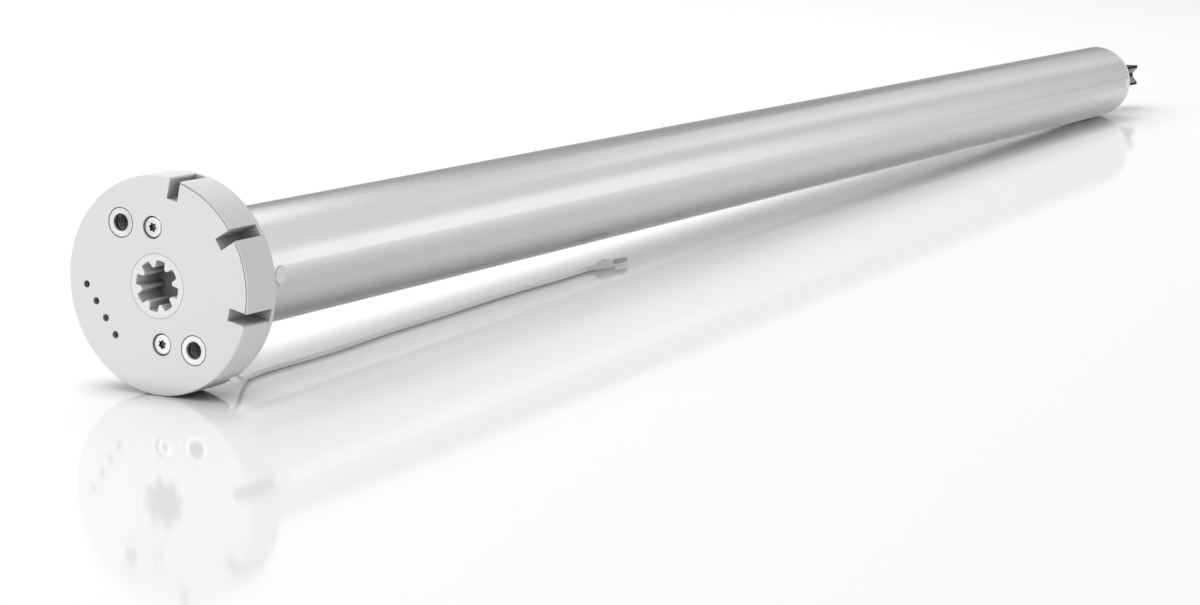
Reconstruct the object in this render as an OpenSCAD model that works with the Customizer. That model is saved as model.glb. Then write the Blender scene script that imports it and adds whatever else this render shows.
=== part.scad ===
// Tubular roller blind motor lying along +X, in millimetres.
// The origin is the centre of the head's front face, +X runs along the tube to the drive end and +Z is up.

/* [Head] */
// Diameter of the round head
head_d = 71; // [66:0.5:84]
// Depth of the head, from its face to the shoulder that the tube meets
head_depth = 15; // [13:0.5:22]
// Thickness of the face cover's plate
cover_t = 3; // [2:0.25:4]
// Thickness of the flange that closes the rim notches at the back
flange_t = 2; // [1.5:0.25:3]
// Wall of the face cover's rim
rim_wall = 2.6; // [2:0.1:3.5]
// Wall between the head's cavity and the notches' floors
notch_wall = 1.7; // [1.2:0.1:2]
// Thickness of the housing's floor behind the cavity
floor_t = 2.4; // [2:0.1:3]
// Wall of the bosses round the socket, the inserts and the screws
boss_wall = 1.5; // [1.2:0.1:1.8]
// Rounding of the face's outer edge
edge_r = 0.5; // [0.2:0.1:1]
// Turn of the head's hole pattern about the tube's axis, from +Y towards +Z
head_turn = 54; // [45:0.5:70]
// Width of a rim notch
notch_w = 4.1; // [3:0.1:6]
// Radial depth of a rim notch
notch_depth = 6.8; // [4:0.2:7.6]
// Depth of a rim notch's end below the cover's seat on the flange
notch_relief = 0.3; // [0.1:0.1:0.6]
// Angle from the inserts to the middle rim notch
notch_middle = 94; // [86:1:98]
// Angle from one rim notch to the next
notch_pitch = 45; // [30:1:50]
// Rounding of the outer notches' free corners
corner_r = 1; // [0.5:0.1:1.5]
// Thin lip of the housing round the cover, between the outer notches
lip_w = 0.45; // [0.4:0.05:0.8]
// Width of the seam between that lip and the cover
seam_w = 0.25; // [0.15:0.05:0.4]
// Diameter of a small sounder hole
vent_d = 2.4; // [1.5:0.1:3]
// Distance from one sounder hole to the next
vent_pitch = 6.4; // [5:0.1:7]
// Distance from the row of sounder holes to the axis
vent_row = 24; // [22:0.5:25]
// Shift of the row's middle along the row
vent_shift = 5.7; // [3:0.1:6.5]
// Diameter of the sounder
sounder_d = 10; // [8:0.5:11]
// Thickness of the sounder
sounder_t = 3.2; // [2:0.2:5]

/* [Bracket fixing] */
// Distance between the two threaded inserts
insert_pcd = 48; // [46:0.5:50]
// Outer diameter of a threaded insert
insert_d = 9.8; // [8:0.1:10.4]
// Bore of a threaded insert, an M6 thread's root
insert_bore = 5; // [4:0.1:6.8]
// Length of a threaded insert
insert_len = 10.5; // [8:0.5:12]
// Distance between the two cover screws
screw_pcd = 37.6; // [37:0.2:42]
// Angle from the inserts to the cover screws
screw_angle = 31.5; // [28:0.5:40]
// Diameter of a cover screw's counterbore
screw_seat_d = 7.4; // [6.8:0.1:8]
// Diameter of a cover screw's head
screw_head_d = 6.6; // [5.5:0.1:6.7]
// Depth of a cover screw's counterbore
screw_seat_depth = 1.9; // [1.6:0.1:2.2]
// Depth of a cover screw's end below the face
screw_end = 11; // [9:0.5:12]
// Diameter of a cover screw's shank
screw_shank_d = 3; // [2.5:0.1:3.5]
// Outer diameter of the star socket
star_d = 20.8; // [20:0.1:21.6]
// Diameter at the roots of the socket's teeth
star_root_d = 16.8; // [15:0.1:17.5]
// Diameter at the tips of the socket's teeth
star_tip_d = 12.3; // [10.5:0.1:13.5]
// Depth of the star socket
star_depth = 12; // [10:0.5:12.5]
// Number of the socket's teeth
star_teeth = 8; // [6:1:10]
// Share of the pitch that a tooth of the socket takes at its root
tooth_root = 0.5; // [0.4:0.02:0.6]
// Share of the pitch that a tooth of the socket takes at its tip
tooth_tip = 0.22; // [0.16:0.02:0.3]
// Turn of the socket's teeth about the axis
star_turn = -11; // [-22:1:22]

/* [Power inlet] */
// Width of the inlet's opening across the head
inlet_w = 10.6; // [8:0.2:11]
// Height of the inlet's opening, outwards from the tube
inlet_h = 7.6; // [6:0.2:8]
// Depth of the inlet's opening
inlet_depth = 8.5; // [6:0.5:9]
// Wall of the inlet's shell
inlet_wall = 1.2; // [0.8:0.1:1.2]
// Distance from the tube to the inlet's opening
inlet_gap = 2.7; // [2.5:0.1:3]
// Diameter of a contact pin
pin_d = 1.2; // [0.8:0.1:1.6]
// Length of a contact pin inside the opening
pin_len = 3.5; // [2:0.5:4]
// Distance from one contact pin to the next
pin_pitch = 3.2; // [2.5:0.1:3.5]
// Diameter of an inner wire
wire_d = 1.6; // [1:0.1:1.8]

/* [Antenna lead] */
// Diameter of the antenna cord
cord_d = 1.5; // [1.2:0.1:1.8]
// Diameter of the sleeve at the cord's end
sleeve_d = 2; // [1.9:0.1:3]
// Length of the sleeve
sleeve_len = 15; // [11:0.5:20]
// Length of the flat flag on the sleeve
flag_len = 10; // [6:0.5:12]
// Height of the flag above the sleeve's axis
flag_h = 3; // [2:0.2:4.4]
// Thickness of the flag
flag_t = 1.2; // [0.8:0.1:1.6]
// Diameter of the antenna's tip
tip_d = 2.1; // [1.6:0.1:2.4]
// Length of the antenna's tip
tip_len = 9; // [6:0.5:20]
// Rise of the tip's axis above the sleeve's axis
tip_rise = 1.2; // [0.5:0.1:1.4]
// Width of the slot where the cord leaves the head
exit_w = 3.6; // [3.2:0.1:5]
// Length of that slot along the tube's axis
exit_len = 5; // [4:0.5:6]

/* [Tube] */
// Outer diameter of the tube
tube_d = 40; // [39:0.1:41]
// Wall of the tube
tube_wall = 1.2; // [1:0.1:1.4]
// Position of the tube's far end
tube_end = 877; // [860:1:960]
// Length of the head's spigot inside the tube
spigot_len = 45; // [40:1:60]
// Wall of the head's spigot
spigot_wall = 2; // [1.5:0.25:3]
// Diameter of a retaining lug
lug_d = 6; // [4:0.2:7]
// Position of the retaining lugs
lug_x = 39.2; // [30:0.2:44]
// Height of a lug above the tube
lug_proud = 0.3; // [0.1:0.1:0.8]
// Thickness of the seal ring between head and tube
seal_d = 1.5; // [1.2:0.1:2]
// Clearance between the tube and what slides into it
slide_gap = 0.3; // [0.2:0.05:0.5]

/* [Electronics] */
// Length of the electronics tray
tray_len = 440; // [430:1:450]
// Wall of the tray
tray_wall = 1.4; // [1:0.1:2]
// Gap between a circuit board's edge and the tray's wall
board_gap = 0.7; // [0.5:0.1:1.5]
// Width of the tray's ledges under the boards' edges
ledge_w = 1.5; // [1:0.1:2]
// Thickness of the circuit boards
board_t = 1.6; // [1:0.2:2]
// Height of the boards' lower face above the axis
board_z = 2; // [1:0.5:3]
// Length of the power board
power_board_len = 195; // [190:1:215]
// Length of the terminal block before the power board
terminal_len = 12; // [8:0.5:14]
// Space between neighbouring parts along the power board
part_gap = 9; // [6:0.5:12]
// Clearance between the parts under the boards and the tray's wall
part_clear = 2.4; // [1.5:0.1:4]
// Diameter of the noise choke
choke_d = 16; // [12:0.5:18]
// Height of the noise choke
choke_h = 8; // [6:0.5:9]
// Length of a relay
relay_len = 19; // [14:0.5:22]
// Width of a relay
relay_w = 9.6; // [8:0.2:10.4]
// Distance between the two relays
relay_pitch = 12; // [11:0.5:13]
// Length of the transformer's core
transformer_len = 22; // [18:0.5:26]
// Width of the transformer's core
transformer_w = 19; // [16:0.5:20]
// Diameter of the bulk capacitor
capacitor_d = 16; // [10:0.5:16]
// Length of the bulk capacitor
capacitor_len = 32; // [20:1:36]
// Length of the heat sink
heat_sink_len = 40; // [30:1:50]
// Width of the heat sink
heat_sink_w = 19.8; // [16:0.2:20]
// Thickness of the heat sink's plate and fins
fin_t = 1.4; // [1:0.1:1.8]
// Height of the heat sink
heat_sink_h = 10; // [6:0.5:11]
// Length and width of a chip on the logic board
chip_len = 10; // [6:0.5:12]
// Thickness of a chip
chip_t = 1.4; // [1:0.1:2]
// Distance from one chip to the next
chip_pitch = 22; // [16:1:26]
// Length of the radio module's shield
radio_len = 25; // [18:1:30]
// Width of the radio module's shield
radio_w = 16; // [12:0.5:18]
// Height of the radio module's shield
radio_h = 3; // [2:0.2:4]
// Length of the motor's connector
plug_block_len = 12; // [8:0.5:14]
// Width of the motor's connector
plug_block_w = 14; // [10:0.5:16]
// Height of the motor's connector
plug_block_h = 8; // [7:0.5:9]

/* [Motor] */
// Length of the motor's can
can_len = 128; // [120:1:132]
// Wall of the motor's can
can_wall = 1.2; // [1:0.1:1.6]
// Diameter of the motor's shaft
shaft_d = 5; // [4:0.5:6]
// Diameter of the rotor
rotor_d = 15; // [12:0.5:16]
// Length of the rotor
rotor_len = 60; // [40:1:70]
// Air gap between the rotor and the stator
air_gap = 0.5; // [0.3:0.1:0.8]
// Diameter of a ball bearing
bearing_d = 13; // [11:0.5:14]
// Width of a ball bearing
bearing_w = 5; // [4:0.5:6]
// Thickness of an end bell
bell_t = 8; // [7:0.5:10]
// Length of a damper and of the hub inside it
damper_len = 8; // [6:0.5:10]
// Wall of a rubber damper
damper_wall = 3.4; // [2.5:0.1:4]

/* [Brake] */
// Length of the brake's coil housing
coil_len = 18; // [14:1:24]
// Thickness of the armature plate
armature_t = 3; // [2:0.5:4]
// Thickness of the friction disc
friction_t = 3; // [2:0.5:4]
// Diameter of the friction disc
friction_d = 30; // [24:1:32]

/* [Gearbox] */
// Wall of the ring gear outside its teeth
ring_wall = 2.64; // [2.4:0.02:3]
// Teeth of each sun gear
sun_teeth = 14; // [14:1:14]
// Teeth of each planet gear
planet_teeth = 13; // [13:1:13]
// Width of the gears
gear_w = 10; // [8:0.5:12]
// Thickness of a planet carrier's plate
plate_t = 4; // [3:0.5:6]
// Diameter of a planet's pin
planet_pin_d = 4; // [3:0.5:5]
// Axial play of the planets
end_play = 0.5; // [0.3:0.1:0.8]
// Radial clearance of a running fit
run_gap = 0.05; // [0.03:0.01:0.08]
// Thickness of the plate before the gearbox
front_plate_t = 6; // [4:0.5:8]

/* [Output] */
// Diameter of the drive shaft
drive_d = 16; // [15:0.5:17]
// Length of the drive shaft's round neck outside the end plate
neck_len = 4; // [2:0.5:8]
// Reach of the drive tenon beyond the end plate
drive_reach = 54; // [30:1:60]
// Height of the tenon's section
tenon_h = 11.2; // [9:0.2:11.2]
// Width of the tenon's section at its flanges
tenon_w = 11.2; // [9:0.2:11.2]
// Width of the tenon's section at its web
web_w = 5.8; // [5:0.2:7]
// Height of the flat web between the slopes
web_h = 2; // [1:0.2:4]
// Thickness of the flanges' edges
flange_edge = 1.4; // [1:0.1:2.5]
// Diameter of the screw hole in the tenon's end
drive_hole_d = 3.3; // [2.5:0.1:4]
// Depth of that screw hole
drive_hole_depth = 14; // [8:1:20]
// Length of the output bearing's housing
output_len = 70; // [60:1:76]
// Outer diameter of an output bush
bush_d = 22; // [20:0.5:24]
// Width of an output bush
bush_w = 8; // [6:0.5:12]
// Thickness of the end plate's lip
lip_t = 3; // [2:0.25:4]
// Step from the tube down to the end plate's lip
lip_step = 0.4; // [0.2:0.1:0.8]
// Length of the end plate's plug inside the tube
plug_len = 11; // [9:0.5:14]
// Width of the end plate's tabs
tab_w = 5.4; // [4:0.2:7]
// Length of the end plate's tabs
tab_len = 5.7; // [4:0.1:7]

/* [Hidden] */
$fn = 96;
eps = 0.01;
fit = 0.05;

head_r = head_d / 2;
tube_r = tube_d / 2;
bore_r = tube_r - tube_wall;
inner_r = bore_r - slide_gap;
rim_end = head_depth - flange_t;
body_r = head_r - rim_wall - 0.2;
notch_floor_r = head_r - notch_depth;
cavity_out_r = notch_floor_r - notch_wall;
star_boss_r = star_d / 2 + boss_wall;
cover_sector_r = head_r - lip_w - seam_w;
notch_first = notch_middle - notch_pitch;
notch_last = notch_middle + notch_pitch;
spigot_bore_r = inner_r - spigot_wall;

// The line of the inner wires, beside the star socket
wire_y = star_boss_r + wire_d / 2 + 0.3;
inlet_y = tube_r + inlet_gap;
inlet_x = head_depth - inlet_depth;
pin_y = inlet_y + inlet_h / 2;
elbow_x = inlet_x - inlet_wall - wire_d / 2;

// Positions along the tube
seal_x = head_depth + spigot_len - 6;
tray_x = head_depth + spigot_len + 2;
tray_end = tray_x + tray_len;
terminal_x = tray_x + 8;
power_board_x = terminal_x + terminal_len;
power_board_end = power_board_x + power_board_len;
logic_board_x = power_board_end + 3;
logic_board_end = tray_end - 3;
choke_x = power_board_x + part_gap + choke_d / 2;
relay_x = choke_x + choke_d / 2 + part_gap;
transformer_x = relay_x + relay_len + part_gap;
capacitor_x = transformer_x + transformer_len + part_gap;
heat_sink_x = capacitor_x + capacitor_len + part_gap;
radio_x = logic_board_x + 4 * chip_pitch;
motor_wire_z = board_z - 0.75 * plug_block_h;
tray_r = inner_r - tray_wall;
board_top = board_z + board_t;
board_y = sqrt(tray_r * tray_r - board_top * board_top) - board_gap;
bell_r = inner_r - damper_wall;
motor_x = tray_end + 9;
can_x = motor_x + damper_len + bell_t;
can_end = can_x + can_len;
motor_end = can_end + bell_t + damper_len;
can_r = inner_r - can_wall;
rotor_x = can_x + (can_len - rotor_len) / 2;
stator_bore_r = rotor_d / 2 + air_gap;
slot_count = 6;
brake_x = motor_end + 2;
armature_x = brake_x + coil_len + slide_gap;
friction_x = armature_x + armature_t + slide_gap;
plate_x = friction_x + friction_t + slide_gap;
gear_x = plate_x + front_plate_t;
stage_len = gear_w + plate_t + 2 * end_play;
gear_end = gear_x + 3 * stage_len + end_play;
output_x = gear_end;
drive_x = gear_x + 3 * stage_len;
output_end = output_x + output_len;
clip_x = output_end + slide_gap;
lip_x = tube_end;
drive_face = tube_end + lip_t;
drive_end = drive_face + drive_reach;

// Gear sizes from the module and the teeth
ring_teeth = sun_teeth + 2 * planet_teeth;
pressure_angle = 20;
addendum = 0.9;
dedendum = 1.15;
ring_addendum = 0.6;
backlash = 0.07;
gear_module = (inner_r - ring_wall) / (ring_teeth / 2 + dedendum);
orbit_r = gear_module * (sun_teeth + planet_teeth) / 2;
carrier_r = gear_module * (ring_teeth / 2 - ring_addendum) - 0.6;
sun_tip_r = gear_module * (sun_teeth / 2 + addendum);

// The plane that the motor lies on: under the head's rim and under the tube's far end
rest_slope = asin((head_r - tube_r) / drive_face);

// The antenna cord's route from the head's rear face to its sleeve, as it lies in the photograph
cord_route = [[15, -17.6, -29], [18.5, -16.8, -29.7], [23, -15, -31.5], [28.5, -12.4, -33.3],
              [35.4, -10, -34.1], [41.7, -9.1, -34], [52.5, -8.5, -33.8], [68.2, -9.1, -33.5],
              [88.7, -8.9, -33.1], [123.8, -6.7, -32.5], [156.2, -6.3, -31.9], [187.4, -5.1, -31.4],
              [217.2, -4.5, -30.9], [244.9, -5.1, -30.4], [268.3, -4.4, -30]];
cord_sides = 8;
ring_step = 4.5;
exit_angle = -121.5;
exit_r = 33.9;
end_yaw = -20;
tip_yaw = -5;

// Places children's XY drawing in the YZ plane at x, with their Z along +X
module along(x) {
    translate([x, 0, 0])
        rotate([90, 0, 90])
            children();
}

module rod(x0, x1, r) {
    along(x0)
        cylinder(h = x1 - x0, r = r);
}

module pipe(x0, x1, r_out, r_in) {
    difference() {
        rod(x0, x1, r_out);
        rod(x0 - eps, x1 + eps, r_in);
    }
}

// A box from corner to corner
module span(low, high) {
    translate(low)
        cube(high - low);
}

// Turns children with the head's hole pattern
module in_head() {
    rotate([head_turn, 0, 0])
        children();
}

// Puts children at both ends of a diameter of the head's hole pattern
module pair_at(pcd, angle) {
    for (side = [0, 180])
        in_head()
            rotate([angle + side, 0, 0])
                translate([0, pcd / 2, 0])
                    children();
}

// A wedge of the head between two angles of its hole pattern
module wedge(x0, x1, from, to) {
    reach = head_d;
    mid = (from + to) / 2;
    in_head()
        along(x0)
            linear_extrude(height = x1 - x0)
                polygon([[0, 0], reach * [cos(from), sin(from)], 1.2 * reach * [cos(mid), sin(mid)],
                         reach * [cos(to), sin(to)]]);
}

// The three rim notches, open at the face and at the rim
module notches(x0, x1) {
    for (k = [-1:1])
        in_head()
            rotate([notch_middle + k * notch_pitch, 0, 0])
                span([x0, notch_floor_r, -notch_w / 2], [x1, head_r + 2, notch_w / 2]);
}

// Rounds the rim's free corner at an outer notch
module free_corner(angle, side) {
    in_head()
        rotate([angle, 0, 0])
            translate([-eps, head_r, side * notch_w / 2])
                rotate([90, 0, 90])
                    linear_extrude(height = rim_end + 2 * eps)
                        difference() {
                            translate([-corner_r, side < 0 ? -corner_r : 0])
                                square([corner_r + 1, corner_r]);
                            translate([-corner_r, side * corner_r])
                                circle(r = corner_r);
                        }
}

function vent_place(k) = vent_shift + (k - 1.5) * vent_pitch;

// The head's local place: u along the inserts, v square to them
function head_place(u, v) = [0, u, -v];

module face_cover() {
    color("#e6e7e9")
        difference() {
            along(0)
                rotate_extrude()
                    polygon(concat([[0, 0]],
                                   [for (a = [0:22.5:90])
                                        [head_r - edge_r + edge_r * sin(a), edge_r - edge_r * cos(a)]],
                                   [[head_r, rim_end], [head_r - rim_wall, rim_end],
                                    [head_r - rim_wall, cover_t], [0, cover_t]]));
            difference() {
                wedge(-eps, rim_end + eps, notch_first, notch_last);
                rod(-1, cover_t - eps, cover_sector_r);
            }
            notches(-1, rim_end + eps);
            free_corner(notch_first, -1);
            free_corner(notch_last, 1);
            rod(-1, cover_t + 1, star_d / 2 + 0.1);
            pair_at(insert_pcd, 0)
                rod(-1, cover_t + 1, insert_d / 2 + fit);
            pair_at(screw_pcd, screw_angle) {
                rod(-1, screw_seat_depth, screw_seat_d / 2);
                rod(-1, cover_t + 1, screw_shank_d / 2 + fit);
            }
            for (k = [0:3])
                in_head()
                    translate(head_place(vent_place(k), vent_row))
                        rod(-1, cover_t + 1, vent_d / 2);
            exit_slot();
        }
}

module exit_slot() {
    rotate([exit_angle, 0, 0])
        span([head_depth - exit_len, exit_r - exit_w / 2, -exit_w / 2],
             [head_depth + 1, head_r + 2, exit_w / 2]);
}

module wire_holes(x0, x1) {
    for (k = [-1:1])
        translate([0, wire_y, k * pin_pitch])
            rod(x0, x1, wire_d / 2 + fit);
}

module inlet_block() {
    span([inlet_x - inlet_wall, inlet_y - inlet_wall, -inlet_w / 2 - inlet_wall],
         [head_depth, inlet_y + inlet_h + inlet_wall, inlet_w / 2 + inlet_wall]);
}

module head_cavity() {
    difference() {
        rod(cover_t - eps, head_depth - floor_t, cavity_out_r);
        rod(cover_t - 1, head_depth, star_boss_r);
        pair_at(insert_pcd, 0)
            rod(cover_t - 1, head_depth, insert_d / 2 + boss_wall);
        pair_at(screw_pcd, screw_angle)
            rod(cover_t - 1, head_depth, screw_shank_d / 2 + boss_wall);
    }
}

// The room behind the sounder's holes
module vent_pocket() {
    in_head()
        span([cover_t - 1, vent_place(0) - vent_d, -vent_row - vent_d / 2],
             [cover_t + sounder_t, vent_place(3) + vent_d, vent_d / 2 - vent_row]);
}

// The room for the inner wires' bends behind the inlet
module wire_room() {
    span([cover_t - 1, pin_y - wire_d, -pin_pitch - wire_d], [inlet_x, pin_y + wire_d, pin_pitch + wire_d]);
}

module head_housing() {
    color("#d9dadc")
        difference() {
            along(0)
                rotate_extrude()
                    polygon([[0, 0], [head_r, 0], [head_r, head_depth], [inner_r, head_depth],
                             [inner_r, head_depth + spigot_len], [0, head_depth + spigot_len]]);
            rod(-1, cover_t, head_r - lip_w);
            difference() {
                pipe(-1, rim_end, head_r + 2, body_r);
                wedge(-2, rim_end + 1, notch_first, notch_last);
            }
            notches(-1, rim_end + notch_relief);
            head_cavity();
            vent_pocket();
            wire_room();
            inlet_block();
            rod(cover_t - 1, star_depth + 1.5, star_d / 2 + fit);
            pair_at(insert_pcd, 0)
                rod(cover_t - 1, insert_len, insert_d / 2 + fit);
            pair_at(screw_pcd, screw_angle)
                rod(cover_t - 1, screw_end, screw_shank_d / 2 + fit);
            rod(head_depth + 1, head_depth + spigot_len + eps, spigot_bore_r);
            wire_holes(cover_t, head_depth + 2);
            for (side = [0, 180])
                rotate([side, 0, 0])
                    translate([lug_x, 0, 0])
                        rotate([-90, 0, 0])
                            cylinder(h = tube_r, r = lug_d / 2 + fit);
            pipe(seal_x - seal_d, seal_x + seal_d, tube_r, bore_r - seal_d);
            exit_slot();
        }
}

module star_outline() {
    pitch = 360 / star_teeth;
    root = star_root_d / 2;
    tip = star_tip_d / 2;
    polygon([for (k = [0:star_teeth - 1], corner = [[-tooth_root / 2, root], [-tooth_tip / 2, tip],
                                                    [tooth_tip / 2, tip], [tooth_root / 2, root],
                                                    [0.5, root]])
                 corner[1] * [cos(star_turn + (k + corner[0]) * pitch),
                              sin(star_turn + (k + corner[0]) * pitch)]]);
}

module star_socket() {
    color("#eceded")
        difference() {
            rod(0, star_depth + 1.5, star_d / 2);
            along(-1)
                linear_extrude(height = star_depth + 1)
                    star_outline();
        }
}

module bracket_inserts() {
    color("#c9cacc")
        pair_at(insert_pcd, 0)
            difference() {
                rod(0, insert_len, insert_d / 2);
                rod(-1, insert_len - 1, insert_bore / 2);
                along(-eps)
                    cylinder(h = 0.35, r1 = insert_bore / 2 + 0.35, r2 = insert_bore / 2);
            }
}

module cover_screws() {
    color("#c4c5c8")
        pair_at(screw_pcd, screw_angle)
            difference() {
                union() {
                    rod(0.25, screw_seat_depth, screw_head_d / 2);
                    rod(screw_seat_depth - eps, screw_end, screw_shank_d / 2);
                }
                along(-1)
                    linear_extrude(height = 2.3)
                        polygon([for (k = [0:11])
                                     (k % 2 == 0 ? 1.55 : 1.05) * [cos(k * 30), sin(k * 30)]]);
            }
}

module sounder() {
    color("#2b2b2d")
        in_head()
            translate(head_place(vent_shift - 3.5, cavity_out_r - sounder_d / 2 - 0.5))
                rod(cover_t, cover_t + sounder_t, sounder_d / 2);
}

module power_inlet() {
    color("#3c3d40")
        difference() {
            inlet_block();
            span([inlet_x, inlet_y, -inlet_w / 2],
                 [head_depth + 1, inlet_y + inlet_h, inlet_w / 2]);
            for (k = [-1:1])
                translate([0, pin_y, k * pin_pitch])
                    rod(0, head_depth, pin_d / 2);
        }
}

module inlet_pins() {
    color("#c9a14a")
        for (k = [-1:1])
            translate([0, pin_y, k * pin_pitch])
                rod(inlet_x - inlet_wall, inlet_x + pin_len, pin_d / 2);
}

module power_wires() {
    color("#7a4a2c")
        for (k = [-1:1])
            translate([0, 0, k * pin_pitch]) {
                translate([elbow_x, wire_y, 0])
                    rotate([-90, 0, 0])
                        cylinder(h = pin_y - wire_y, r = wire_d / 2);
                translate([elbow_x, wire_y, 0])
                    sphere(r = wire_d / 2);
                translate([elbow_x, pin_y, 0])
                    sphere(r = wire_d / 2);
                translate([0, wire_y, 0])
                    rod(elbow_x, terminal_x + 3, wire_d / 2);
            }
}

// A small stepped strain relief in the exit slot, ending square at the cord
module antenna_grommet() {
    color("#e3e4e5")
        translate([0, cord_route[0][1], cord_route[0][2]]) {
            rod(head_depth - exit_len, head_depth - exit_len / 2, 1.6);
            along(head_depth - exit_len / 2 - eps)
                cylinder(h = exit_len / 2 + eps, r1 = 1.4, r2 = cord_d / 2 + 0.15);
        }
}

// Catmull-Rom points along a route, each stretch cut into steps of about ring_step
function spline(p, i, t) =
    let (a = p[max(i - 1, 0)], b = p[i], c = p[i + 1], d = p[min(i + 2, len(p) - 1)])
    0.5 * (2 * b + (c - a) * t + (2 * a - 5 * b + 4 * c - d) * t * t + (3 * b - 3 * c + d - a) * t * t * t);

function run(p) =
    concat([for (i = [0:len(p) - 2], n = [max(1, round(norm(p[i + 1] - p[i]) / ring_step))],
                 k = [0:n - 1]) spline(p, i, k / n)],
           [p[len(p) - 1]]);

function unit(v) = v / norm(v);

function heading(path, i) =
    i == 0 || i == len(path) - 1 ? [1, 0, 0] : unit(path[i + 1] - path[i - 1]);

module sweep(path, r, sides) {
    n = len(path);
    points = [for (i = [0:n - 1], k = [0:sides - 1])
                  let (t = heading(path, i), side = unit(cross(t, [0, 0, 1])), up = cross(side, t),
                       a = (k + 0.5) * 360 / sides)
                  path[i] + r * (cos(a) * side + sin(a) * up)];
    faces = concat([[for (k = [0:sides - 1]) k]],
                   [for (i = [0:n - 2], k = [0:sides - 1])
                        let (j = (k + 1) % sides)
                        [i * sides + j, i * sides + k, (i + 1) * sides + k]],
                   [for (i = [0:n - 2], k = [0:sides - 1])
                        let (j = (k + 1) % sides)
                        [i * sides + j, (i + 1) * sides + k, (i + 1) * sides + j]],
                   [[for (k = [sides - 1:-1:0]) (n - 1) * sides + k]]);
    polyhedron(points, faces, convexity = 4);
}

module antenna_cord() {
    color("#e9e9e9")
        sweep(run(cord_route), cord_d / 2, cord_sides);
}

// The end pieces' own frame: on the cord's last point, turned with it along the surface
module at_cord_end() {
    last = cord_route[len(cord_route) - 1];
    translate(last + [0, 0, (sleeve_d - cord_d) / 2])
        rotate([0, -rest_slope, end_yaw])
            children();
}

module antenna_sleeve() {
    flag_r = (flag_len * flag_len / 4 + flag_h * flag_h) / (2 * flag_h);
    color("#dcdddf")
        at_cord_end() {
            rotate([0, 0, -end_yaw])
                rod(0, 1, sleeve_d / 2);
            rod(0.3, sleeve_len, sleeve_d / 2);
            translate([sleeve_len - flag_len / 2, flag_t / 2, 0])
                rotate([90, 0, 0])
                    linear_extrude(height = flag_t)
                        intersection() {
                            translate([0, flag_h - flag_r])
                                circle(r = flag_r);
                            translate([-flag_len, 0])
                                square([2 * flag_len, flag_h]);
                        }
        }
}

module antenna_tip() {
    color("#b9babd")
        at_cord_end()
            translate([sleeve_len, 0, tip_rise]) {
                rod(0, 1, tip_d / 2);
                rotate([0, 0, tip_yaw - end_yaw]) {
                    rod(0.3, tip_len - tip_d / 2, tip_d / 2);
                    translate([tip_len - tip_d / 2, 0, 0])
                        sphere(r = tip_d / 2);
                }
            }
}

module tube() {
    color("#b4b6b9")
        difference() {
            pipe(head_depth, tube_end, tube_r, bore_r);
            for (side = [0, 180])
                rotate([side, 0, 0]) {
                    translate([lug_x, 0, 0])
                        rotate([-90, 0, 0])
                            cylinder(h = tube_d, r = lug_d / 2 + 0.12);
                    span([tube_end - tab_len, 0, -tab_w / 2 - 0.1],
                         [tube_end + 1, tube_d, tab_w / 2 + 0.1]);
                }
        }
}

module retaining_lugs() {
    color("#ededee")
        for (side = [0, 180])
            rotate([side, 0, 0])
                translate([lug_x, spigot_bore_r, 0])
                    rotate([-90, 0, 0]) {
                        cylinder(h = tube_r + lug_proud - spigot_bore_r - 0.2, r = lug_d / 2);
                        translate([0, 0, tube_r + lug_proud - spigot_bore_r - 0.2])
                            cylinder(h = 0.2, r1 = lug_d / 2, r2 = lug_d / 2 - 0.2);
                    }
}

module seal_ring() {
    color("#3a3b3d")
        along(seal_x)
            rotate_extrude()
                translate([bore_r - seal_d / 2, 0])
                    circle(r = seal_d / 2 - eps, $fn = 32);
}

module electronics_tray() {
    color("#55585c")
        difference() {
            union() {
                difference() {
                    rod(tray_x, tray_end, inner_r);
                    rod(tray_x + 2, tray_end - 2, tray_r);
                }
                for (side = [-1, 1])
                    intersection() {
                        rod(tray_x, tray_end, inner_r);
                        span([tray_x, side > 0 ? board_y - ledge_w : -inner_r, board_z - ledge_w],
                             [tray_end, side > 0 ? inner_r : ledge_w - board_y, board_z]);
                    }
            }
            span([tray_x + 2, -tube_r, board_top], [tray_end - 2, tube_r, tube_r]);
            wire_holes(tray_x - 1, tray_x + 3);
            translate([0, 0, motor_wire_z])
                rod(tray_end - 3, tray_end + 1, pin_pitch + wire_d + 1);
        }
}

module board(x0, x1) {
    span([x0, -board_y, board_z], [x1, board_y, board_top]);
}

// A part that hangs from a board, of half width y and height h
module under_board(x0, len, y, h) {
    span([x0, -y, board_z - h], [x0 + len, y, board_z]);
}

// The greatest height of a part of half width y under a board
function hang(y) = board_z + sqrt(tray_r * tray_r - y * y) - part_clear;

module power_board() {
    color("#2f6b46")
        board(power_board_x, power_board_end);
}

module logic_board() {
    color("#2f6b46") {
        board(logic_board_x, logic_board_end);
        for (k = [0:2])
            under_board(logic_board_x + (k + 0.5) * chip_pitch, chip_len, chip_len / 2, chip_t);
    }
}

// The terminal block stands before the power board's end and reaches under it
module input_connector() {
    half = pin_pitch + wire_d;
    outer_y = wire_y + 0.75 * wire_d;
    color("#d8d9da")
        difference() {
            union() {
                span([terminal_x, wire_y - half, -half], [power_board_x, outer_y, half]);
                span([power_board_x - 1, wire_y - half, -half],
                     [power_board_x + terminal_len / 2, outer_y, board_z]);
            }
            wire_holes(terminal_x - 1, terminal_x + 3);
        }
}

module noise_choke() {
    color("#8b4a23")
        translate([choke_x, 0, board_z - choke_h])
            difference() {
                cylinder(h = choke_h, r = choke_d / 2);
                translate([0, 0, -1])
                    cylinder(h = choke_h + 2, r = 0.45 * choke_d / 2);
            }
}

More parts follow.
